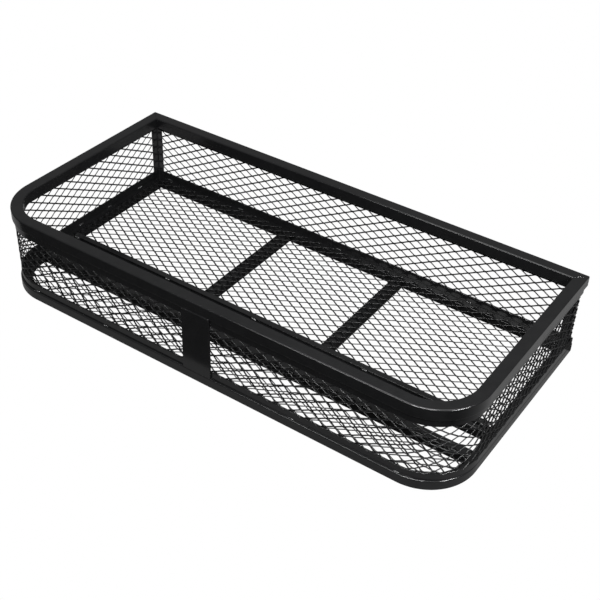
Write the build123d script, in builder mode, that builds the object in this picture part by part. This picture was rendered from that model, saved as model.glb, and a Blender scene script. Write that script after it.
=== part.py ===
"""Welded steel cargo basket for a hitch or rack: square-tube frames with expanded-metal walls and floor.

Millimetres. +X runs along the length to the right, +Y to the rear and +Z up. The origin is on the
ground, under the middle of the basket's outline. The two front corners are bent, the rear ones mitred.
"""
from build123d import *
import os

os.makedirs("parts", exist_ok=True)

# Overall size, over the top rim
LENGTH = 1092.0
WIDTH = 520.7
HEIGHT = 190.5

# Square tubes
RIM_TUBE = 25.4
FLOOR_TUBE = 22.2
POST_TUBE = 19.05
TUBE_WALL = 1.6
TUBE_EDGE = 2.4
RIM_BEND = 108.0

# The floor frame is a little shorter than the rim
FLOOR_END_INSET = 4.0

# Flat bars that stand on the floor frame and hang under the rim, round all four walls
BAND_THICK = 3.2
BAND_DEPTH = 15.9
BAND_INSET = 4.0

# Expanded metal, modelled as a plain sheet
SHEET = 2.5

# Floor: two rails with an open gap between them, two cross members, and the laps of the floor mesh
RAIL_FRONT_FACE = 109.0
RAIL_GAP = 51.6
CROSS_SPACING = 296.0
LAP_ON_FRAME = 7.0
LAP_ON_ENDS = 2.0
LAP_ON_REAR_RAIL = 6.7
POST_CLEARANCE = 1.0

# Flat bar that holds the front edge of the rear floor mesh down on its rail
STRIP_WIDTH = 12.7
STRIP_THICK = 3.2
STRIP_END_GAP = 6.0
STRIP_BEAD = 5.0
STRIP_OVERHANG = 2.0

# Plate on the front wall, a little left of its middle
PLATE_MIDDLE_X = -6.5
PLATE_WIDTH = 66.0
PLATE_THICK = 4.0

# Tack welds: bead radius at each kind of joint, and the places of the beads along X or Y
BEAD = 4.0
SMALL_BEAD = 2.6
REAR_FOOT_WELDS = (-502.0, -290.0, -15.0, 311.0)
END_FOOT_WELDS = (-17.0, 77.0, 184.0)
FRONT_FOOT_WELDS = (-436.0, -244.0, 211.0, 436.0)
FRONT_RIM_WELDS = (-420.0, -246.0, 204.0, 420.0)
END_RIM_WELDS = (-1.0, 118.0, 240.0)
STRIP_WELDS = (-505.0, -244.0, -16.0, 250.0, 505.0)

# Levels and faces that follow from the sizes above
FLOOR_TOP = FLOOR_TUBE
FLOOR_BAND_TOP = FLOOR_TOP + BAND_DEPTH
RIM_UNDERSIDE = HEIGHT - RIM_TUBE
RIM_BAND_FOOT = RIM_UNDERSIDE - BAND_DEPTH
HALF_LENGTH = LENGTH / 2
HALF_WIDTH = WIDTH / 2
FLOOR_HALF_LENGTH = HALF_LENGTH - FLOOR_END_INSET
FLOOR_BEND = RIM_BEND - FLOOR_END_INSET
FLOOR_INNER_END = FLOOR_HALF_LENGTH - FLOOR_TUBE
FLOOR_INNER_SIDE = HALF_WIDTH - FLOOR_TUBE
FRONT_RAIL_Y = -HALF_WIDTH + RAIL_FRONT_FACE + FLOOR_TUBE / 2
REAR_RAIL_Y = FRONT_RAIL_Y + FLOOR_TUBE + RAIL_GAP
REAR_MESH_FRONT_Y = REAR_RAIL_Y + FLOOR_TUBE / 2 - LAP_ON_REAR_RAIL
STRIP_FRONT_Y = REAR_MESH_FRONT_Y - STRIP_OVERHANG
WALL_FACE = BAND_INSET + BAND_THICK
SHEET_INSET = BAND_INSET + (BAND_THICK - SHEET) / 2


def save(piece, name):
    """Label a finished piece and write it to its own file."""
    piece.part.label = name
    export_step(piece.part, f"parts/{name}.step")


def tube_section(plane, size):
    """Section of a square tube with rounded corners, centred on the plane's origin."""
    with BuildSketch(plane) as section:
        RectangleRounded(size, size, TUBE_EDGE)
        bore = size - 2 * TUBE_WALL
        RectangleRounded(bore, bore, TUBE_EDGE - TUBE_WALL, mode=Mode.SUBTRACT)
    return section.sketch


def mitre_plan(half_length, size, base):
    """Plan of a rear tube: full length along its back, and one tube width shorter at each end in front."""
    with BuildSketch(Plane.XY.offset(base)) as plan:
        Polygon(
            (-half_length, HALF_WIDTH),
            (-half_length + size, HALF_WIDTH - size),
            (half_length - size, HALF_WIDTH - size),
            (half_length, HALF_WIDTH),
            align=None,
        )
    return plan.sketch


def bent_tube(half_length, bend, size, base):
    """Square tube bent round the front, with its two rear ends cut at 45 degrees."""
    side = half_length - size / 2
    front = -HALF_WIDTH + size / 2
    with BuildPart() as tube:
        with BuildLine(Plane.XY.offset(base + size / 2)) as path:
            FilletPolyline(
                (-side, HALF_WIDTH),
                (-side, front),
                (side, front),
                (side, HALF_WIDTH),
                radius=bend - size / 2,
            )
        sweep(tube_section(Plane(origin=path.line @ 0, z_dir=path.line % 0), size))
        extrude(mitre_plan(half_length, size, base), amount=size, mode=Mode.SUBTRACT)
    return tube


def mitred_tube(half_length, size, base):
    """Straight rear tube, with both ends cut at 45 degrees to meet the bent tube."""
    start = Plane.YZ.offset(-half_length)
    centre = start.from_local_coords(Vector(HALF_WIDTH - size / 2, base + size / 2, 0))
    section = tube_section(Plane(origin=centre, x_dir=start.x_dir, z_dir=start.z_dir), size)
    with BuildPart() as tube:
        extrude(section, amount=2 * half_length)
        extrude(mitre_plan(half_length, size, base), amount=size, mode=Mode.INTERSECT)
    return tube


def straight_tube(start, direction, size, length):
    """Square tube that starts at a point, cut square at both ends."""
    with BuildPart() as tube:
        extrude(tube_section(Plane(origin=start, z_dir=direction), size), amount=length)
    return tube


def wall_strip(inset, thickness, rear, base):
    """Plan of a strip that follows the rim down both ends and round the two front bends."""
    outer_side = HALF_LENGTH - inset
    outer_front = -HALF_WIDTH + inset
    with BuildSketch(Plane.XY.offset(base)) as strip:
        with BuildLine():
            outer = FilletPolyline(
                (-outer_side, rear),
                (-outer_side, outer_front),
                (outer_side, outer_front),
                (outer_side, rear),
                radius=RIM_BEND - inset,
            )
            inner = FilletPolyline(
                (-outer_side + thickness, rear),
                (-outer_side + thickness, outer_front + thickness),
                (outer_side - thickness, outer_front + thickness),
                (outer_side - thickness, rear),
                radius=RIM_BEND - inset - thickness,
            )
            Line(outer @ 0, inner @ 0)
            Line(outer @ 1, inner @ 1)
        make_face()
    return strip.sketch


def rear_strip(inset, thickness, base):
    """Plan of a flat strip along the rear wall, between the two ends of a bent one."""
    with BuildSketch(Plane.XY.offset(base)) as strip:
        with Locations((0, HALF_WIDTH - inset - thickness / 2)):
            Rectangle(LENGTH - 2 * (inset + thickness), thickness)
    return strip.sketch


def bead(place, run, side, radius):
    """Quarter ball of weld in the corner of two faces: the corner lies along run, one face along side."""
    with BuildPart(Plane(origin=place, x_dir=side, z_dir=run)) as quarter:
        Sphere(radius, arc_size3=90, align=None)
    return quarter.part


# Top rim: a bent tube for the front and ends, and a straight one along the rear
top_rim_bend = bent_tube(HALF_LENGTH, RIM_BEND, RIM_TUBE, RIM_UNDERSIDE)
save(top_rim_bend, "top_rim_bend")

top_rim_rear = mitred_tube(HALF_LENGTH, RIM_TUBE, RIM_UNDERSIDE)
save(top_rim_rear, "top_rim_rear")

# Floor frame: the same pair in smaller tube, resting on the ground
floor_frame_bend = bent_tube(FLOOR_HALF_LENGTH, FLOOR_BEND, FLOOR_TUBE, 0)
save(floor_frame_bend, "floor_frame_bend")

floor_frame_rear = mitred_tube(FLOOR_HALF_LENGTH, FLOOR_TUBE, 0)
save(floor_frame_rear, "floor_frame_rear")

# Flat bars that the wall mesh is welded between
with BuildPart() as rim_band_bend:
    extrude(wall_strip(BAND_INSET, BAND_THICK, HALF_WIDTH - BAND_INSET, RIM_BAND_FOOT), amount=BAND_DEPTH)
save(rim_band_bend, "rim_band_bend")

with BuildPart() as rim_band_rear:
    extrude(rear_strip(BAND_INSET, BAND_THICK, RIM_BAND_FOOT), amount=BAND_DEPTH)
save(rim_band_rear, "rim_band_rear")

with BuildPart() as floor_band_bend:
    extrude(wall_strip(BAND_INSET, BAND_THICK, HALF_WIDTH - BAND_INSET, FLOOR_TOP), amount=BAND_DEPTH)
save(floor_band_bend, "floor_band_bend")

with BuildPart() as floor_band_rear:
    extrude(rear_strip(BAND_INSET, BAND_THICK, FLOOR_TOP), amount=BAND_DEPTH)
save(floor_band_rear, "floor_band_rear")

# Posts that carry the rim at the two rear corners
for side, name in ((-1, "corner_post_left"), (1, "corner_post_right")):
    post_x = side * (HALF_LENGTH - WALL_FACE - POST_TUBE / 2)
    post_y = HALF_WIDTH - WALL_FACE - POST_TUBE / 2
    corner_post = straight_tube((post_x, post_y, FLOOR_TOP), (0, 0, 1), POST_TUBE, RIM_UNDERSIDE - FLOOR_TOP)
    save(corner_post, name)

# Two rails across the floor, with the open gap between them
for rail_y, name in ((FRONT_RAIL_Y, "floor_rail_front"), (REAR_RAIL_Y, "floor_rail_rear")):
    rail_start = (-FLOOR_INNER_END, rail_y, FLOOR_TUBE / 2)
    floor_rail = straight_tube(rail_start, (1, 0, 0), FLOOR_TUBE, 2 * FLOOR_INNER_END)
    save(floor_rail, name)

# Two members from the rear rail to the rear tube
CROSS_START_Y = REAR_RAIL_Y + FLOOR_TUBE / 2
for side, name in ((-1, "cross_member_left"), (1, "cross_member_right")):
    cross_start = (side * CROSS_SPACING / 2, CROSS_START_Y, FLOOR_TUBE / 2)
    cross_member = straight_tube(cross_start, (0, 1, 0), FLOOR_TUBE, FLOOR_INNER_SIDE - CROSS_START_Y)
    save(cross_member, name)

# Expanded-metal walls: one sheet bent round the front and ends, and one along the rear
with BuildPart() as wall_mesh_bend:
    extrude(
        wall_strip(SHEET_INSET, SHEET, HALF_WIDTH - SHEET_INSET, FLOOR_BAND_TOP),
        amount=RIM_BAND_FOOT - FLOOR_BAND_TOP,
    )
save(wall_mesh_bend, "wall_mesh_bend")

with BuildPart() as wall_mesh_rear:
    extrude(rear_strip(SHEET_INSET, SHEET, FLOOR_BAND_TOP), amount=RIM_BAND_FOOT - FLOOR_BAND_TOP)
save(wall_mesh_rear, "wall_mesh_rear")

# Expanded-metal floor, lying on the tubes on both sides of the gap
MESH_HALF_LENGTH = FLOOR_INNER_END + LAP_ON_ENDS
MESH_SIDE_Y = FLOOR_INNER_SIDE + LAP_ON_FRAME
FRONT_MESH_REAR_Y = FRONT_RAIL_Y - FLOOR_TUBE / 2 + LAP_ON_FRAME
with BuildPart() as floor_mesh_front:
    with BuildSketch(Plane.XY.offset(FLOOR_TOP)):
        with Locations((0, (FRONT_MESH_REAR_Y - MESH_SIDE_Y) / 2)):
            front_panel = Rectangle(2 * MESH_HALF_LENGTH, FRONT_MESH_REAR_Y + MESH_SIDE_Y)
        fillet(front_panel.vertices().group_by(Axis.Y)[0], radius=FLOOR_BEND - FLOOR_TUBE + LAP_ON_ENDS)
    extrude(amount=SHEET)
save(floor_mesh_front, "floor_mesh_front")

POST_NOTCH = POST_TUBE + POST_CLEARANCE
NOTCH_X = HALF_LENGTH - WALL_FACE - POST_NOTCH / 2
NOTCH_Y = HALF_WIDTH - WALL_FACE - POST_NOTCH / 2
with BuildPart() as floor_mesh_rear:
    with BuildSketch(Plane.XY.offset(FLOOR_TOP)):
        with Locations((0, (REAR_MESH_FRONT_Y + MESH_SIDE_Y) / 2)):
            Rectangle(2 * MESH_HALF_LENGTH, MESH_SIDE_Y - REAR_MESH_FRONT_Y)
        with Locations((-NOTCH_X, NOTCH_Y), (NOTCH_X, NOTCH_Y)):
            Rectangle(POST_NOTCH, POST_NOTCH, mode=Mode.SUBTRACT)
    extrude(amount=SHEET)
save(floor_mesh_rear, "floor_mesh_rear")

with BuildPart() as mesh_clamp_strip:
    with BuildSketch(Plane.XY.offset(FLOOR_TOP + SHEET)):
        with Locations((0, STRIP_FRONT_Y + STRIP_WIDTH / 2)):
            Rectangle(2 * (FLOOR_INNER_END - STRIP_END_GAP), STRIP_WIDTH)
    extrude(amount=STRIP_THICK)
save(mesh_clamp_strip, "mesh_clamp_strip")

# Plate on the front wall, from the floor frame to the rim
with BuildPart() as front_plate:
    with BuildSketch(Plane.XY.offset(FLOOR_TOP)):
        with Locations((PLATE_MIDDLE_X, -HALF_WIDTH + PLATE_THICK / 2)):
            Rectangle(PLATE_WIDTH, PLATE_THICK)
    extrude(amount=RIM_UNDERSIDE - FLOOR_TOP)
save(front_plate, "front_plate")

# Weld that fills the groove between the plate's ends and the rounded edges of the two tubes
WELD_Y = -HALF_WIDTH + TUBE_EDGE
with BuildPart() as plate_welds:
    for weld_z, tube_side in ((FLOOR_TOP, -1), (RIM_UNDERSIDE, 1)):
        with BuildSketch(Plane.YZ.offset(PLATE_MIDDLE_X - PLATE_WIDTH / 2)):
            with Locations((WELD_Y - TUBE_EDGE / 2, weld_z + tube_side * TUBE_EDGE / 2)):
                Rectangle(TUBE_EDGE, TUBE_EDGE)
            with Locations((WELD_Y, weld_z + tube_side * TUBE_EDGE)):
                Circle(TUBE_EDGE, mode=Mode.SUBTRACT)
        extrude(amount=PLATE_WIDTH)
save(plate_welds, "plate_welds")

# Tack welds, as groups of beads
BAND_FRONT_Y = -HALF_WIDTH + BAND_INSET
with BuildPart() as rim_tack_welds:
    for x in FRONT_RIM_WELDS:
        add(bead((x, BAND_FRONT_Y, RIM_UNDERSIDE), (1, 0, 0), (0, -1, 0), SMALL_BEAD))
    for y in END_RIM_WELDS:
        add(bead((HALF_LENGTH - BAND_INSET, y, RIM_UNDERSIDE), (0, 1, 0), (1, 0, 0), SMALL_BEAD))
        add(bead((BAND_INSET - HALF_LENGTH, y, RIM_UNDERSIDE), (0, -1, 0), (-1, 0, 0), SMALL_BEAD))
save(rim_tack_welds, "rim_tack_welds")

with BuildPart() as floor_tack_welds:
    for x in REAR_FOOT_WELDS:
        add(bead((x, HALF_WIDTH - WALL_FACE, FLOOR_TOP), (1, 0, 0), (0, 0, 1), BEAD))
    for x in FRONT_FOOT_WELDS:
        add(bead((x, BAND_FRONT_Y, FLOOR_TOP), (1, 0, 0), (0, 0, 1), SMALL_BEAD))
    for y in END_FOOT_WELDS:
        add(bead((HALF_LENGTH - WALL_FACE, y, FLOOR_TOP), (0, 1, 0), (-1, 0, 0), BEAD))
        add(bead((WALL_FACE - HALF_LENGTH, y, FLOOR_TOP), (0, -1, 0), (1, 0, 0), BEAD))
save(floor_tack_welds, "floor_tack_welds")

with BuildPart() as strip_tack_welds:
    for x in STRIP_WELDS:
        add(bead((x, STRIP_FRONT_Y, FLOOR_TOP), (1, 0, 0), (0, 0, 1), STRIP_BEAD))
save(strip_tack_welds, "strip_tack_welds")
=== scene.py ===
"""Looks of the hitch cargo carrier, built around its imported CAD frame.

Metres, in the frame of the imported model: +X along the carrier, +Y to its rear, +Z up.
"""

import math

import bmesh
import bpy
import numpy as np
from mathutils import Euler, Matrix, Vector


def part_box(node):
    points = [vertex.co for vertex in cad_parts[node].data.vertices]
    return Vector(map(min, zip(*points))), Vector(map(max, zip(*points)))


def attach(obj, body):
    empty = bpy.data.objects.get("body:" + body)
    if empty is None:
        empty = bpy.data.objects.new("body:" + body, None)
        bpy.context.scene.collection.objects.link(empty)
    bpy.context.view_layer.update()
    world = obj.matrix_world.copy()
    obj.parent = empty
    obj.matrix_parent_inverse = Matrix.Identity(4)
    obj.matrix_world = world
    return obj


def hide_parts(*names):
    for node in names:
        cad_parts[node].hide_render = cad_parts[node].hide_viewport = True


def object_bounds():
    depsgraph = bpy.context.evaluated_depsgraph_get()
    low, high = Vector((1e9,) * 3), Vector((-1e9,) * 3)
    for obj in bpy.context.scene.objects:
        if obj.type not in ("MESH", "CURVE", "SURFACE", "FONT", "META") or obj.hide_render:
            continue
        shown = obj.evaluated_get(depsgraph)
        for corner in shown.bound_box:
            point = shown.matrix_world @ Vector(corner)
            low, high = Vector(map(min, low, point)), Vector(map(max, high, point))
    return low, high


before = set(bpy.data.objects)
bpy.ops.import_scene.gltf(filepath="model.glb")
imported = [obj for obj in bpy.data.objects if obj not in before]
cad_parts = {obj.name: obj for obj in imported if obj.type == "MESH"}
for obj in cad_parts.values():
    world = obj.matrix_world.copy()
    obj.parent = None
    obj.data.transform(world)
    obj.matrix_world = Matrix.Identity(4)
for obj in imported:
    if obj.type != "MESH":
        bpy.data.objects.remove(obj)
CAD_LOW, CAD_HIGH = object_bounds()
MM = 0.001

QUARTER_TURN = math.radians(90)
ALONG_X = (1, 0, 0)
ALONG_Y = (0, 1, 0)

# Thickness of the flat bars, and how far in they stand from the rim's outer face
BAND_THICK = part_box("floor_band_bend")[1].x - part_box("floor_band_rear")[1].x
BAND_INSET = CAD_HIGH.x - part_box("floor_band_bend")[1].x

# Tubes and flat bars: the rim's bend, the rounding of the edges, and the steps in a bend and a corner
RIM_BEND = 108 * MM
RIM_EDGE = 3.0 * MM
FLOOR_EDGE = 2.6 * MM
POST_EDGE = 2.4 * MM
BAR_EDGE = 0.8 * MM
END_EDGE = 0.5 * MM
BEND_STEPS = 40
CORNER_STEPS = 5

# Expanded metal: the pitches, the strand's section, its tilt out of the sheet, the bond, and where it ends
LONG_PITCH = 35.9 * MM
SHORT_PITCH = 19.5 * MM
STRAND_WIDTH = 3.2 * MM
STRAND_THICK = 1.9 * MM
STRAND_EDGE = 0.3 * MM
STRAND_TILT = math.radians(-33)
BOND_HALF = 1.2 * MM
BOND_LEAN = 0.72 * MM
BOND_OVERLAP = 0.2 * MM
STRAND_LAP = 2.0 * MM
CUT_TOLERANCE = 0.0001 * MM
BENT_WALL_TRIM = 11.0 * MM
REAR_WALL_TRIM = 5.0 * MM

# A bond's place on each sheet, along and across it
BENT_WALL_BOND = (-1.2 * MM, 4.7 * MM)
REAR_WALL_BOND = (30.3 * MM, 4.9 * MM)
FRONT_FLOOR_BOND = (6.9 * MM, 2.0 * MM)
REAR_FLOOR_BOND = (6.9 * MM, 7.9 * MM)
FLOOR_CORNER_CUTS = 8

# Welds: the tacks' places along each joint, and the beads' sizes
REAR_FOOT_TACKS = (-502 * MM, -290 * MM, -15 * MM, 311 * MM)
END_FOOT_TACKS = (-17 * MM, 77 * MM, 184 * MM)
FRONT_FOOT_TACKS = (-436 * MM, -244 * MM, 211 * MM, 436 * MM)
FRONT_RIM_TACKS = (-420 * MM, -246 * MM, 204 * MM, 420 * MM)
END_RIM_TACKS = (-1 * MM, 118 * MM, 240 * MM)
STRIP_TACKS = (-505 * MM, -244 * MM, -16 * MM, 250 * MM, 505 * MM)
TACK_RADIUS = 2.4 * MM
TACK_LENGTH = 13 * MM
STRIP_TACK_RADIUS = 3.12 * MM
PLATE_BEAD_RADIUS = 2.99 * MM
PLATE_BEAD_OFFSET = 2.3 * MM
RIPPLE_PITCH = 2.6 * MM
RINGS_PER_RIPPLE = 6
FEWEST_RINGS = 15
BEAD_SIDES = 12
BEAD_BLUNTNESS = 5

# A bead's unevenness, as shares of its radius, and how far its end rings stand in, as a share of a ring
BEAD_FULLNESS = 0.88
BEAD_DEPTH = 0.85
RIPPLE_SHARE = 0.09
LUMP_SHARE = 0.04
DRIFT_SHARE = 0.05
END_SHARE = 0.02

# Powder coat: cells to the metre of the mottle, the uneven gloss, the orange peel and its slower flow
MOTTLE_CELLS = 55
GLOSS_CELLS = 34
PEEL_CELLS = 520
FLOW_CELLS = 130
COAT_IOR = 1.5

# The part of a noise's values that is spread over a whole range of colours or numbers
NOISE_SPAN = (0.3, 0.7)

# Studio: the white room, and the glowing cards on its floor. The near card fills most of the gap
# that the other cards leave round the object.
ROOM = 9.0
FLOOR_DROP = 2 * MM
CARD_DROP = 1 * MM
CARD_GAP = 46 * MM
CARD_REACH = 900 * MM
NEAR_CARD_WIDTH = 45 * MM
NEAR_CARD_GLOW = 0.27
SIDE_CARD_GLOW = 0.38
BACK_CARD_GLOW = 0.3

# How far the cards go past the object: at its front, behind it, and left and right of it
CARD_FRONT = 100 * MM
SIDE_CARD_REAR = 1200 * MM
BACK_CARD_LEFT = 600 * MM
BACK_CARD_RIGHT = 40 * MM

# Where the right card's glow starts and is full, from the object's front face
SIDE_FADE_START = -20 * MM
SIDE_FADE_END = 260 * MM

# The world's grey under the horizon and over it, and the heights between which it changes
WORLD_BELOW = 0.04
WORLD_ABOVE = 0.22
WORLD_FADE = (-0.15, 0.5)

# Camera: its direction, its distance, what it looks at from the middle of the basket, its film and its lens
CAMERA_AZIMUTH = math.radians(33.4)
CAMERA_ELEVATION = math.radians(37.4)
CAMERA_ROLL = math.radians(2.07)
CAMERA_DISTANCE = 2.228
CAMERA_AIM = Vector((50.9, 3.6, -32.7)) * MM
CAMERA_SENSOR = 36
CAMERA_LENS = 65.8

# Soft boxes: name, place, size and power in watts, all turned towards the basket's middle
LIGHTS = (
    ("right key", (2.1, -0.53, 1.4), (0.85, 0.25), 64),
    ("front key", (0.67, -1.5, 1.94), (1.2, 0.25), 50),
    ("front fill", (-0.3, -2.0, 1.9), (1.6, 0.35), 26),
    ("overhead", (0.1, 0.3, 2.3), (1.8, 1.2), 25),
)

random_state = np.random.default_rng(7)


# ---------------------------------------------------------------- materials


def new_material(name):
    """A node material with a Principled shader wired to its output, and that shader."""
    material = bpy.data.materials.new(name)
    material.use_nodes = True
    nodes = material.node_tree.nodes
    nodes.clear()
    shader = nodes.new("ShaderNodeBsdfPrincipled")
    output = nodes.new("ShaderNodeOutputMaterial")
    material.node_tree.links.new(shader.outputs["BSDF"], output.inputs["Surface"])
    return material, shader


def noise(material, scale, detail=2.0, roughness=0.5):
    """Noise over the object's own coordinates, at this many cells to the metre."""
    nodes = material.node_tree.nodes
    links = material.node_tree.links
    place = nodes.new("ShaderNodeTexCoord")
    texture = nodes.new("ShaderNodeTexNoise")
    texture.inputs["Scale"].default_value = scale
    texture.inputs["Detail"].default_value = detail
    texture.inputs["Roughness"].default_value = roughness
    links.new(place.outputs["Object"], texture.inputs["Vector"])
    return texture.outputs["Fac"]


def between(material, value, low, high, span=NOISE_SPAN):
    """Maps a value from its span onto a range of numbers."""
    node = material.node_tree.nodes.new("ShaderNodeMapRange")
    node.inputs["From Min"].default_value = span[0]
    node.inputs["From Max"].default_value = span[1]
    node.inputs["To Min"].default_value = low
    node.inputs["To Max"].default_value = high
    material.node_tree.links.new(value, node.inputs["Value"])
    return node.outputs["Result"]


def shades(material, value, dark, light):
    """Maps a noise value onto a range of colours."""
    ramp = material.node_tree.nodes.new("ShaderNodeValToRGB")
    for element, position, color in zip(ramp.color_ramp.elements, NOISE_SPAN, (dark, light)):
        element.position = position
        element.color = (*color, 1)
    material.node_tree.links.new(value, ramp.inputs["Fac"])
    return ramp.outputs["Color"]


def bump(material, height, distance, strength, under=None):
    """Bump of this height in metres, over another bump if one is given."""
    node = material.node_tree.nodes.new("ShaderNodeBump")
    node.inputs["Distance"].default_value = distance
    node.inputs["Strength"].default_value = strength
    material.node_tree.links.new(height, node.inputs["Height"])
    if under is not None:
        material.node_tree.links.new(under, node.inputs["Normal"])
    return node.outputs["Normal"]


def powder_coat(name, peel_height, roughness, dark, light, shine):
    """Gloss black powder coat: fine orange peel, uneven gloss and a slight mottle in the black."""
    material, shader = new_material(name)
    links = material.node_tree.links
    mottle = noise(material, MOTTLE_CELLS, detail=6, roughness=0.6)
    black = shades(material, mottle, dark, light)
    gloss = between(material, noise(material, GLOSS_CELLS, detail=5, roughness=0.55), *roughness)
    peel = bump(material, noise(material, PEEL_CELLS), peel_height, strength=0.5)
    flow = bump(material, noise(material, FLOW_CELLS, detail=3), peel_height * 2, strength=0.35, under=peel)
    links.new(black, shader.inputs["Base Color"])
    links.new(gloss, shader.inputs["Roughness"])
    links.new(flow, shader.inputs["Normal"])
    shader.inputs["IOR"].default_value = COAT_IOR
    shader.inputs["Specular IOR Level"].default_value = shine
    return material


# The finish of each of the record's slots
FINISHES = {
    "black_powder_coat": powder_coat(
        "coat on tube",
        peel_height=0.05 * MM,
        roughness=(0.14, 0.2),
        dark=(0.0045, 0.0046, 0.0049),
        light=(0.0064, 0.0065, 0.0068),
        shine=0.5,
    ),
    "black_coated_mesh": powder_coat(
        "coat on mesh",
        peel_height=0.03 * MM,
        roughness=(0.24, 0.36),
        dark=(0.003, 0.0031, 0.0034),
        light=(0.005, 0.0051, 0.0054),
        shine=0.32,
    ),
    # The welds' black is lighter than the tubes' black. This is painted highlight: the brighter colour
    # stands in for the specks of light the welds catch.
    "black_coated_welds": powder_coat(
        "coat on welds",
        peel_height=0.12 * MM,
        roughness=(0.12, 0.24),
        dark=(0.009, 0.0092, 0.0096),
        light=(0.016, 0.0162, 0.017),
        shine=0.8,
    ),
}


# ---------------------------------------------------------------- pieces


def finish_piece(name, mesh, node, slot):
    """Makes an object of the mesh, which stands for one CAD node and takes its slot's finish."""
    mesh.materials.append(FINISHES[slot])
    piece = bpy.data.objects.new(name, mesh)
    bpy.context.scene.collection.objects.link(piece)
    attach(piece, "root")
    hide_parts(node)
    return piece


def mesh_of(name, verts, faces):
    """A closed smooth-shaded mesh with its faces turned outwards."""
    mesh = bpy.data.meshes.new(name)
    mesh.from_pydata(verts, [], faces)
    solid = bmesh.new()
    solid.from_mesh(mesh)
    bmesh.ops.recalc_face_normals(solid, faces=solid.faces)
    solid.to_mesh(mesh)
    solid.free()
    mesh.shade_smooth()
    return mesh


def rounded_section(width, height, radius):
    """Points round a rectangle with rounded corners, centred on the origin."""
    points = []
    for turn, (side_x, side_y) in enumerate(((1, 1), (-1, 1), (-1, -1), (1, -1))):
        for step in range(CORNER_STEPS + 1):
            angle = QUARTER_TURN * (turn + step / CORNER_STEPS)
            points.append(
                (
                    side_x * (width / 2 - radius) + radius * math.cos(angle),
                    side_y * (height / 2 - radius) + radius * math.sin(angle),
                )
            )
    return np.array(points)


def skin(rings):
    """Verts and faces of a closed tube through these rings of points, with a flat face on each end."""
    count = len(rings[0])
    faces = [
        (i * count + j, i * count + (j + 1) % count, (i + 1) * count + (j + 1) % count, (i + 1) * count + j)
        for i in range(len(rings) - 1)
        for j in range(count)
    ]
    faces.append(tuple(range(count)))
    last = (len(rings) - 1) * count
    faces.append(tuple(range(last + count - 1, last - 1, -1)))
    return np.concatenate(rings).tolist(), faces


def shrunk(section, edge):
    """The section drawn in by the size of an edge."""
    reach = np.abs(section).max(0)
    return section * (reach - edge) / reach


def plan_bar(name, node, line, section, middle_z, mitred):
    """A bar along a line in plan, which holds (x, y) and the outward normal at each station."""
    rings = []
    last = len(line) - 1
    tip = shrunk(section, END_EDGE)
    for i, (x, y, out_x, out_y) in enumerate(line):
        ahead = Vector((-out_y, out_x))
        slope = 0
        sections = [(section, 0.0)]
        if i == 0:
            slope = -mitred
            sections = [(tip, 0.0), (section, END_EDGE)]
        elif i == last:
            slope = mitred
            sections = [(section, -END_EDGE), (tip, 0.0)]
        for points, run in sections:
            along = run + slope * points[:, 0]
            ring = np.empty((len(points), 3))
            ring[:, 0] = x + points[:, 0] * out_x + along * ahead.x
            ring[:, 1] = y + points[:, 0] * out_y + along * ahead.y
            ring[:, 2] = middle_z + points[:, 1]
            rings.append(ring)
    weigh_normals(finish_piece(name, mesh_of(name, *skin(rings)), node, "black_powder_coat"))


def weigh_normals(piece):
    """Keeps the flat faces flat in the shading and leaves the turn of light to the rounded edges."""
    weighted = piece.modifiers.new("Weighted normals", "WEIGHTED_NORMAL")
    weighted.weight = 100


def bent_line(node, inset, mitred):
    """Plan line of a bar bent round the front and both ends, drawn in from the node's outer faces.

    It holds (x, y) and the outward normal at each station, as rear_line does.
    """
    low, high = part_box(node)
    outer = RIM_BEND - (CAD_HIGH.x - high.x)
    radius = outer - inset
    turn_x = high.x - outer
    turn_y = low.y + outer
    rear = high.y - inset * mitred
    line = [(low.x + inset, rear, -1, 0)]
    for side, start in ((-1, 2), (1, 3)):
        for step in range(BEND_STEPS + 1):
            angle = QUARTER_TURN * (start + step / BEND_STEPS)
            out = (math.cos(angle), math.sin(angle))
            line.append((side * turn_x + radius * out[0], turn_y + radius * out[1], *out))
    line.append((high.x - inset, rear, 1, 0))
    return line


def rear_line(node, inset, mitred):
    """Plan line of a straight bar along the rear, which runs towards -X."""
    low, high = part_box(node)
    y = high.y - inset
    return [(high.x - inset * mitred, y, 0, 1), (low.x + inset * mitred, y, 0, 1)]


def height_of(node):
    """Height of a node's middle, and how tall it is."""
    low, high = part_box(node)
    return (low.z + high.z) / 2, high.z - low.z


def make_tube_pair(prefix, edge):
    """The bent tube and the rear tube that are mitred together at the rear corners."""
    for suffix, line_of in (("bend", bent_line), ("rear", rear_line)):
        node = f"{prefix}_{suffix}"
        middle, size = height_of(node)
        section = rounded_section(size, size, edge)
        line = line_of(node, size / 2, mitred=True)
        plan_bar(f"{node}_tube", node, line, section, middle, mitred=True)


def make_band_pair(prefix):
    """The bent flat bar and the rear one that fits between its ends."""
    for suffix, line_of in (("bend", bent_line), ("rear", rear_line)):
        node = f"{prefix}_{suffix}"
        middle, depth = height_of(node)
        section = rounded_section(BAND_THICK, depth, BAR_EDGE)
        line = line_of(node, BAND_THICK / 2, mitred=False)
        plan_bar(f"{node}_bar", node, line, section, middle, mitred=False)


def straight_bar(node, axis, edge):
    """A bar with rounded edges that fills the node's box, long along one axis."""
    low, high = (np.array(corner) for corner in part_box(node))
    across, up = (i for i in range(3) if i != axis)
    size = high - low
    centre = (low + high) / 2
    section = rounded_section(size[across], size[up], edge)
    rings = []
    for place, points in (
        (low[axis], shrunk(section, END_EDGE)),
        (low[axis] + END_EDGE, section),
        (high[axis] - END_EDGE, section),
        (high[axis], shrunk(section, END_EDGE)),
    ):
        ring = np.empty((len(points), 3))
        ring[:, axis] = place
        ring[:, across] = centre[across] + points[:, 0]
        ring[:, up] = centre[up] + points[:, 1]
        rings.append(ring)
    name = f"{node}_bar"
    weigh_normals(finish_piece(name, mesh_of(name, *skin(rings)), node, "black_powder_coat"))


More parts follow.
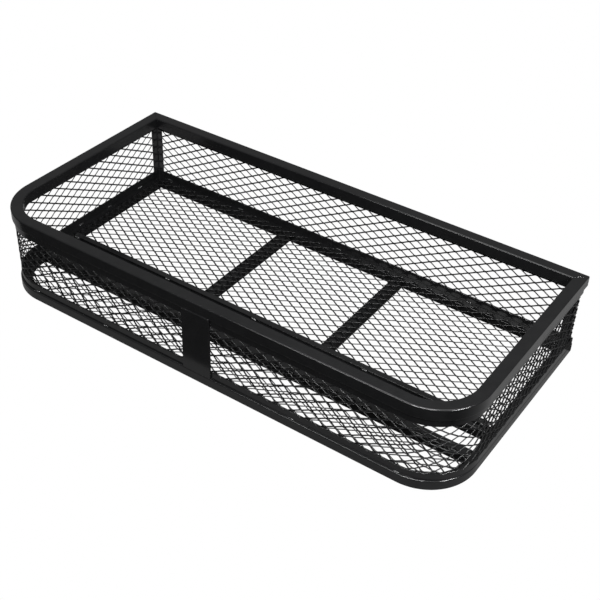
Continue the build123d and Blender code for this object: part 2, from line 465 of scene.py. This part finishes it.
# ---------------------------------------------------------------- expanded metal


def strand_stations(first, last, bond):
    """Stations along one zigzag strip: its place, and how far it has crossed between two rows of bonds."""
    half = LONG_PITCH / 2
    climb = half - 2 * (BOND_HALF + BOND_LEAN)
    first_rise = BOND_LEAN / (climb + 2 * BOND_LEAN)
    shape = [(0.0, 0.0), (BOND_HALF, 0.0), (BOND_HALF + 2 * BOND_LEAN, first_rise)]
    shape += [(half - u, 1 - share) for u, share in reversed(shape[1:])]
    stations = []
    start = math.floor((first - bond) / half)
    stop = math.ceil((last - bond) / half)
    for turn in range(start, stop):
        for u, share in shape:
            stations.append((bond + turn * half + u, share if turn % 2 == 0 else 1 - share))
    stations.append((bond + stop * half, 0.0 if stop % 2 == 0 else 1.0))
    return np.array(stations)


def strip_rings(stations, row_v, tilts):
    """Rings of the strip's tilted section, from the row of bonds at row_v to the next one."""
    u, share = stations.T
    wide = np.stack((np.zeros(len(u)), np.cos(tilts), np.sin(tilts)), axis=1)
    reach = (STRAND_WIDTH - BOND_OVERLAP) / 2
    rise = row_v + reach * wide[:, 1] + share * (SHORT_PITCH / 2 - 2 * reach * wide[:, 1])
    line = np.stack((u, rise, reach * wide[:, 2] * (1 - 2 * share)), axis=1)
    ahead = np.gradient(line, axis=0)
    ahead /= np.linalg.norm(ahead, axis=1)[:, None]
    across = wide - ahead * (ahead * wide).sum(axis=1)[:, None]
    across /= np.linalg.norm(across, axis=1)[:, None]
    out = np.cross(ahead, across)
    half_w = STRAND_WIDTH / 2
    half_t = STRAND_THICK / 2
    cut = STRAND_EDGE
    corners = []
    for side_w, side_t in ((1, 1), (-1, 1), (-1, -1), (1, -1)):
        near = [(side_w * half_w, side_t * (half_t - cut)), (side_w * (half_w - cut), side_t * half_t)]
        corners += near if side_w * side_t > 0 else near[::-1]
    return [
        np.array([line[i] + a * across[i] + b * out[i] for a, b in corners]) for i in range(len(line))
    ]


def same_tilt(u):
    """The strands' tilt on a sheet that lies the same way up everywhere."""
    return np.full(len(u), STRAND_TILT)


def expanded_sheet(low, high, bond, cutters, tilt_at=same_tilt):
    """Expanded metal in its flat frame: u along the long pitch, v across it, and the normal.

    It covers u and v from low to high. cutters holds a point and an outward direction for
    each edge it is cut to, and tilt_at gives the strands' tilt along u.
    """
    verts = []
    faces = []
    half = SHORT_PITCH / 2
    first = math.floor((low[1] - bond[1]) / half)
    last = math.ceil((high[1] - bond[1]) / half)
    for row in range(first, last):
        shift = 0 if row % 2 == 0 else LONG_PITCH / 2
        stations = strand_stations(low[0], high[0], bond[0] + shift)
        rings = strip_rings(stations, bond[1] + row * half, tilt_at(stations[:, 0]))
        ring_verts, ring_faces = skin(rings)
        faces += [tuple(i + len(verts) for i in face) for face in ring_faces]
        verts += ring_verts
    solid = bmesh.new()
    mesh = bpy.data.meshes.new("flat sheet")
    mesh.from_pydata(verts, [], faces)
    solid.from_mesh(mesh)
    bpy.data.meshes.remove(mesh)
    for place, outwards in cutters:
        everything = solid.verts[:] + solid.edges[:] + solid.faces[:]
        cut = bmesh.ops.bisect_plane(
            solid,
            geom=everything,
            plane_co=(*place, 0),
            plane_no=(*outwards, 0),
            clear_outer=True,
            dist=CUT_TOLERANCE,
        )
        rim = [edge for edge in cut["geom_cut"] if isinstance(edge, bmesh.types.BMEdge)]
        bmesh.ops.holes_fill(solid, edges=rim, sides=0)
    bmesh.ops.recalc_face_normals(solid, faces=solid.faces)
    return solid


def rectangle_cutters(low, high):
    """The four edges of a rectangular sheet."""
    return [
        (low, (-1, 0)),
        (low, (0, -1)),
        (high, (1, 0)),
        (high, (0, 1)),
    ]


def laid_sheet(node, solid, place_of):
    """Turns the flat sheet into a piece, with each of its points put where place_of says."""
    name = f"{node}_strands"
    mesh = bpy.data.meshes.new(name)
    solid.to_mesh(mesh)
    solid.free()
    flat = np.empty(len(mesh.vertices) * 3)
    mesh.vertices.foreach_get("co", flat)
    mesh.vertices.foreach_set("co", place_of(flat.reshape(-1, 3)).ravel())
    mesh.update()
    mesh.shade_smooth()
    finish_piece(name, mesh, node, "black_coated_mesh")


def make_floor_sheet(node, bond, corner_cutters=()):
    """A flat sheet of mesh lying on the floor frame."""
    low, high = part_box(node)
    lift = STRAND_WIDTH * abs(math.sin(STRAND_TILT)) + STRAND_THICK / 2 * math.cos(STRAND_TILT)
    cutters = rectangle_cutters(low.xy, high.xy) + list(corner_cutters)
    solid = expanded_sheet(low.xy, high.xy, bond, cutters)
    laid_sheet(node, solid, lambda flat: flat + (0, 0, low.z + lift))


def front_corner_cutters():
    """Edges that round the front floor sheet's two front corners inside the bend of the floor frame."""
    low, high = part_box("floor_mesh_front")
    radius = RIM_BEND - (CAD_HIGH.x - high.x)
    cutters = []
    for side in (-1, 1):
        for step in range(1, FLOOR_CORNER_CUTS):
            angle = QUARTER_TURN * step / FLOOR_CORNER_CUTS
            out = (side * math.cos(angle), -math.sin(angle))
            centre = (side * (high.x - radius), low.y + radius)
            cutters.append(((centre[0] + radius * out[0], centre[1] + radius * out[1]), out))
    return cutters


def make_rear_wall():
    """The flat sheet of wall mesh along the rear, between its two flat bars."""
    node = "wall_mesh_rear"
    low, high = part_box(node)
    flat_low = (low.x + REAR_WALL_TRIM, low.z - STRAND_LAP)
    flat_high = (high.x - REAR_WALL_TRIM, high.z + STRAND_LAP)
    middle_y = (low.y + high.y) / 2
    cutters = rectangle_cutters(flat_low, flat_high)
    solid = expanded_sheet(flat_low, flat_high, REAR_WALL_BOND, cutters)

    def place(flat):
        return np.stack((flat[:, 0], middle_y + flat[:, 2], flat[:, 1]), axis=1)

    laid_sheet(node, solid, place)


def make_bent_wall():
    """The wall mesh bent round the front and ends: laid out flat, then wrapped on its middle line.

    Its strands lean one way on the left end and the other way on the front and the right end,
    and the lean turns over in the left bend.
    """
    node = "wall_mesh_bend"
    low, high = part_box(node)
    radius = RIM_BEND - BAND_INSET - BAND_THICK / 2
    straight = CAD_HIGH.x - RIM_BEND
    turn_y = CAD_LOW.y + RIM_BEND
    arc = radius * QUARTER_TURN
    reach = straight + arc + high.y - turn_y - BENT_WALL_TRIM
    flat_low = (-reach, low.z - STRAND_LAP)
    flat_high = (reach, high.z + STRAND_LAP)

    def tilt_at(u):
        return np.interp(u, (-straight - arc, -straight), (STRAND_TILT, -STRAND_TILT))

    cutters = rectangle_cutters(flat_low, flat_high)
    solid = expanded_sheet(flat_low, flat_high, BENT_WALL_BOND, cutters, tilt_at)

    def place(flat):
        side = np.sign(flat[:, 0])
        run = np.abs(flat[:, 0])
        angle = np.clip((run - straight) / radius, 0, QUARTER_TURN)
        past = np.clip(run - straight - arc, 0, None)
        out = radius + flat[:, 2]
        x = side * (np.minimum(run, straight) + out * np.sin(angle))
        y = turn_y - out * np.cos(angle) + past
        return np.stack((x, y, flat[:, 1]), axis=1)

    laid_sheet(node, solid, place)


# ---------------------------------------------------------------- welds


def bead_rings(place, run, length, radius):
    """Rings of a lumpy bead of weld laid along run, half sunk into the corner it fills."""
    run = np.array(run, float)
    up = np.array((0, 0, 1))
    side = np.cross(run, up)
    count = max(FEWEST_RINGS, round(length / RIPPLE_PITCH * RINGS_PER_RIPPLE))
    rings = []
    for i in range(count):
        share = (i + END_SHARE) / (count - 1 + 2 * END_SHARE) * 2 - 1
        along = share * length / 2
        ripple = RIPPLE_SHARE * math.cos(2 * math.pi * along / RIPPLE_PITCH)
        lump = random_state.normal(0, LUMP_SHARE)
        size = radius * math.sqrt(1 - abs(share) ** BEAD_BLUNTNESS) * (BEAD_FULLNESS + ripple + lump)
        drift = random_state.normal(0, DRIFT_SHARE, 2) * size
        ring = []
        for turn in range(BEAD_SIDES):
            angle = 2 * math.pi * turn / BEAD_SIDES
            reach = size * (1 + LUMP_SHARE * math.sin(3 * angle + i))
            ring.append(
                np.array(place)
                + run * along
                + side * (reach * math.cos(angle) + drift[0])
                + up * (reach * math.sin(angle) * BEAD_DEPTH + drift[1])
            )
        rings.append(np.clip(ring, CAD_LOW, CAD_HIGH))
    return rings


def make_beads(node, beads):
    """All the beads of one weld node, as one piece of coated weld metal."""
    verts = []
    faces = []
    for place, run, length, radius in beads:
        bead_verts, bead_faces = skin(bead_rings(place, run, length, radius))
        faces += [tuple(i + len(verts) for i in face) for face in bead_faces]
        verts += bead_verts
    name = f"{node}_beads"
    finish_piece(name, mesh_of(name, verts, faces), node, "black_coated_welds")


def make_plate_welds():
    """Fillets along the plate's foot and top, where it meets the two tubes."""
    low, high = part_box("front_plate")
    middle_x = (low.x + high.x) / 2
    length = high.x - low.x
    clear = PLATE_BEAD_OFFSET / 3
    foot = (middle_x, high.y, low.z - clear)
    top = (middle_x, low.y + PLATE_BEAD_OFFSET / 2, high.z + clear)
    make_beads("plate_welds", [(place, ALONG_X, length, PLATE_BEAD_RADIUS) for place in (foot, top)])


def tacks(places, run, radius=TACK_RADIUS):
    """Short beads of one size that all run the same way."""
    return [(place, run, TACK_LENGTH, radius) for place in places]


def make_rim_tacks():
    """Tacks that hold the upper flat bar to the rim's underside."""
    low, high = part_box("rim_band_bend")
    beads = tacks([(x, low.y, high.z) for x in FRONT_RIM_TACKS], ALONG_X)
    for x in (low.x, high.x):
        beads += tacks([(x, y, high.z) for y in END_RIM_TACKS], ALONG_Y)
    make_beads("rim_tack_welds", beads)


def make_floor_tacks():
    """Tacks that hold the lower flat bar to the floor frame's top."""
    low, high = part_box("floor_band_bend")
    inner_x = high.x - BAND_THICK
    inner_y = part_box("floor_band_rear")[0].y
    beads = tacks([(x, low.y, low.z) for x in FRONT_FOOT_TACKS], ALONG_X)
    beads += tacks([(x, inner_y, low.z) for x in REAR_FOOT_TACKS], ALONG_X)
    for x in (-inner_x, inner_x):
        beads += tacks([(x, y, low.z) for y in END_FOOT_TACKS], ALONG_Y)
    make_beads("floor_tack_welds", beads)


def make_strip_tacks():
    """Tacks along the clamp strip's front edge."""
    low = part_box("mesh_clamp_strip")[0]
    places = [(x, low.y, low.z) for x in STRIP_TACKS]
    make_beads("strip_tack_welds", tacks(places, ALONG_X, STRIP_TACK_RADIUS))


# ---------------------------------------------------------------- stage


def emitter(name, strength, fade=None):
    """A material that glows, evenly or fading to nothing along Y between two places."""
    material = bpy.data.materials.new(name)
    material.use_nodes = True
    nodes = material.node_tree.nodes
    nodes.clear()
    glow = nodes.new("ShaderNodeEmission")
    glow.inputs["Strength"].default_value = strength
    output = nodes.new("ShaderNodeOutputMaterial")
    links = material.node_tree.links
    links.new(glow.outputs["Emission"], output.inputs["Surface"])
    if fade is not None:
        place = nodes.new("ShaderNodeTexCoord")
        split = nodes.new("ShaderNodeSeparateXYZ")
        links.new(place.outputs["Object"], split.inputs["Vector"])
        level = between(material, split.outputs["Y"], 0, strength, fade)
        links.new(level, glow.inputs["Strength"])
    return material


def stage_piece(name, mesh, material, seen):
    """A floor, backdrop or bounce card. seen says whether the camera sees it, or only the light does."""
    mesh.materials.append(material)
    piece = bpy.data.objects.new(name, mesh)
    bpy.context.scene.collection.objects.link(piece)
    piece.visible_camera = seen
    piece.visible_diffuse = not seen
    piece.visible_glossy = not seen
    piece.visible_shadow = False


def card(name, low, high, z):
    """A flat card between two corners in plan, at this height."""
    mesh = bpy.data.meshes.new(name)
    corners = [(low[0], low[1], z), (high[0], low[1], z), (high[0], high[1], z), (low[0], high[1], z)]
    mesh.from_pydata(corners, [], [(0, 1, 2, 3)])
    return mesh


def apron(width):
    """A card of this width on the floor, round the front and both ends."""
    mesh = bpy.data.meshes.new("near card")
    line = bent_line("floor_frame_bend", 0, mitred=False)
    z = CAD_LOW.z - CARD_DROP
    verts = []
    for x, y, out_x, out_y in line:
        verts += [(x + out_x * reach, y + out_y * reach, z) for reach in (0, width)]
    faces = [(2 * i, 2 * i + 1, 2 * i + 3, 2 * i + 2) for i in range(len(line) - 1)]
    mesh.from_pydata(verts, [], faces)
    return mesh


def backdrop_mesh(radius):
    """A ball round the whole studio."""
    mesh = bpy.data.meshes.new("backdrop")
    ball = bmesh.new()
    bmesh.ops.create_icosphere(ball, subdivisions=4, radius=radius)
    ball.to_mesh(mesh)
    ball.free()
    return mesh


def area_light(name, place, target, size, power):
    """A soft box at place, turned towards target."""
    light = bpy.data.lights.new(name, "AREA")
    light.shape = "RECTANGLE"
    light.size = size[0]
    light.size_y = size[1]
    light.energy = power
    lamp = bpy.data.objects.new(name, light)
    lamp.location = place
    lamp.rotation_euler = (Vector(target) - Vector(place)).to_track_quat("-Z", "Y").to_euler()
    lamp.visible_camera = False
    bpy.context.scene.collection.objects.link(lamp)


def make_world():
    """Dim surroundings: nearly dark under the horizon and a soft grey over it."""
    world = bpy.data.worlds.new("studio")
    bpy.context.scene.world = world
    world.use_nodes = True
    nodes = world.node_tree.nodes
    links = world.node_tree.links
    background = nodes["Background"]
    background.inputs["Color"].default_value = (1, 1, 1, 1)
    place = nodes.new("ShaderNodeTexCoord")
    split = nodes.new("ShaderNodeSeparateXYZ")
    level = nodes.new("ShaderNodeMapRange")
    level.inputs["From Min"].default_value = WORLD_FADE[0]
    level.inputs["From Max"].default_value = WORLD_FADE[1]
    level.inputs["To Min"].default_value = WORLD_BELOW
    level.inputs["To Max"].default_value = WORLD_ABOVE
    links.new(place.outputs["Generated"], split.inputs["Vector"])
    links.new(split.outputs["Z"], level.inputs["Value"])
    links.new(level.outputs["Result"], background.inputs["Strength"])


def make_card(name, low, high, strength, fade=None):
    """A glowing card on the floor that the object mirrors and the camera doesn't see."""
    mesh = card(name, low, high, CAD_LOW.z - CARD_DROP)
    stage_piece(name.replace(" ", "_"), mesh, emitter(name, strength, fade), seen=False)


def make_stage():
    """White surroundings for the camera, and cards and soft boxes that only the object reflects."""
    white = emitter("white floor", 1.0)
    floor = card("floor", (-ROOM, -ROOM), (ROOM, ROOM), CAD_LOW.z - FLOOR_DROP)
    stage_piece("floor", floor, white, seen=True)
    stage_piece("backdrop", backdrop_mesh(ROOM), white, seen=True)
    near = emitter("near card", NEAR_CARD_GLOW)
    stage_piece("near_card", apron(NEAR_CARD_WIDTH), near, seen=False)
    make_card(
        "side card",
        (CAD_HIGH.x + CARD_GAP, CAD_LOW.y - CARD_FRONT),
        (CAD_HIGH.x + CARD_REACH, CAD_HIGH.y + SIDE_CARD_REAR),
        SIDE_CARD_GLOW,
        (CAD_LOW.y + SIDE_FADE_START, CAD_LOW.y + SIDE_FADE_END),
    )
    make_card(
        "back card",
        (CAD_LOW.x - BACK_CARD_LEFT, CAD_HIGH.y + CARD_GAP),
        (CAD_HIGH.x + BACK_CARD_RIGHT, CAD_HIGH.y + CARD_REACH),
        BACK_CARD_GLOW,
    )
    make_card(
        "far side card",
        (CAD_LOW.x - CARD_REACH, CAD_LOW.y - CARD_FRONT),
        (CAD_LOW.x - CARD_GAP, CAD_HIGH.y),
        BACK_CARD_GLOW,
    )
    make_world()
    centre = (CAD_LOW + CAD_HIGH) / 2
    for name, place, size, power in LIGHTS:
        area_light(name, place, centre, size, power)


def make_camera():
    """The camera, raised and to the right of the front, with a plain lens."""
    aim = (CAD_LOW + CAD_HIGH) / 2 + CAMERA_AIM
    camera = bpy.data.objects.new("camera", bpy.data.cameras.new("camera"))
    bpy.context.scene.collection.objects.link(camera)
    camera.data.sensor_width = CAMERA_SENSOR
    camera.data.lens = CAMERA_LENS
    turn = Euler((QUARTER_TURN - CAMERA_ELEVATION, 0, CAMERA_AZIMUTH)).to_matrix()
    camera.location = aim + turn @ Vector((0, 0, CAMERA_DISTANCE))
    camera.rotation_euler = (turn @ Euler((0, 0, CAMERA_ROLL)).to_matrix()).to_euler()
    bpy.context.scene.camera = camera


# ---------------------------------------------------------------- assembly

make_tube_pair("top_rim", RIM_EDGE)
make_tube_pair("floor_frame", FLOOR_EDGE)
make_band_pair("rim_band")
make_band_pair("floor_band")
for side in ("left", "right"):
    straight_bar(f"corner_post_{side}", 2, POST_EDGE)
    straight_bar(f"cross_member_{side}", 1, FLOOR_EDGE)
for place in ("front", "rear"):
    straight_bar(f"floor_rail_{place}", 0, FLOOR_EDGE)
straight_bar("mesh_clamp_strip", 0, BAR_EDGE)
straight_bar("front_plate", 2, BAR_EDGE)
make_floor_sheet("floor_mesh_front", FRONT_FLOOR_BOND, front_corner_cutters())
make_floor_sheet("floor_mesh_rear", REAR_FLOOR_BOND)
make_rear_wall()
make_bent_wall()
make_plate_welds()
make_rim_tacks()
make_floor_tacks()
make_strip_tacks()
make_stage()
make_camera()
bpy.context.scene.view_settings.view_transform = "Standard"
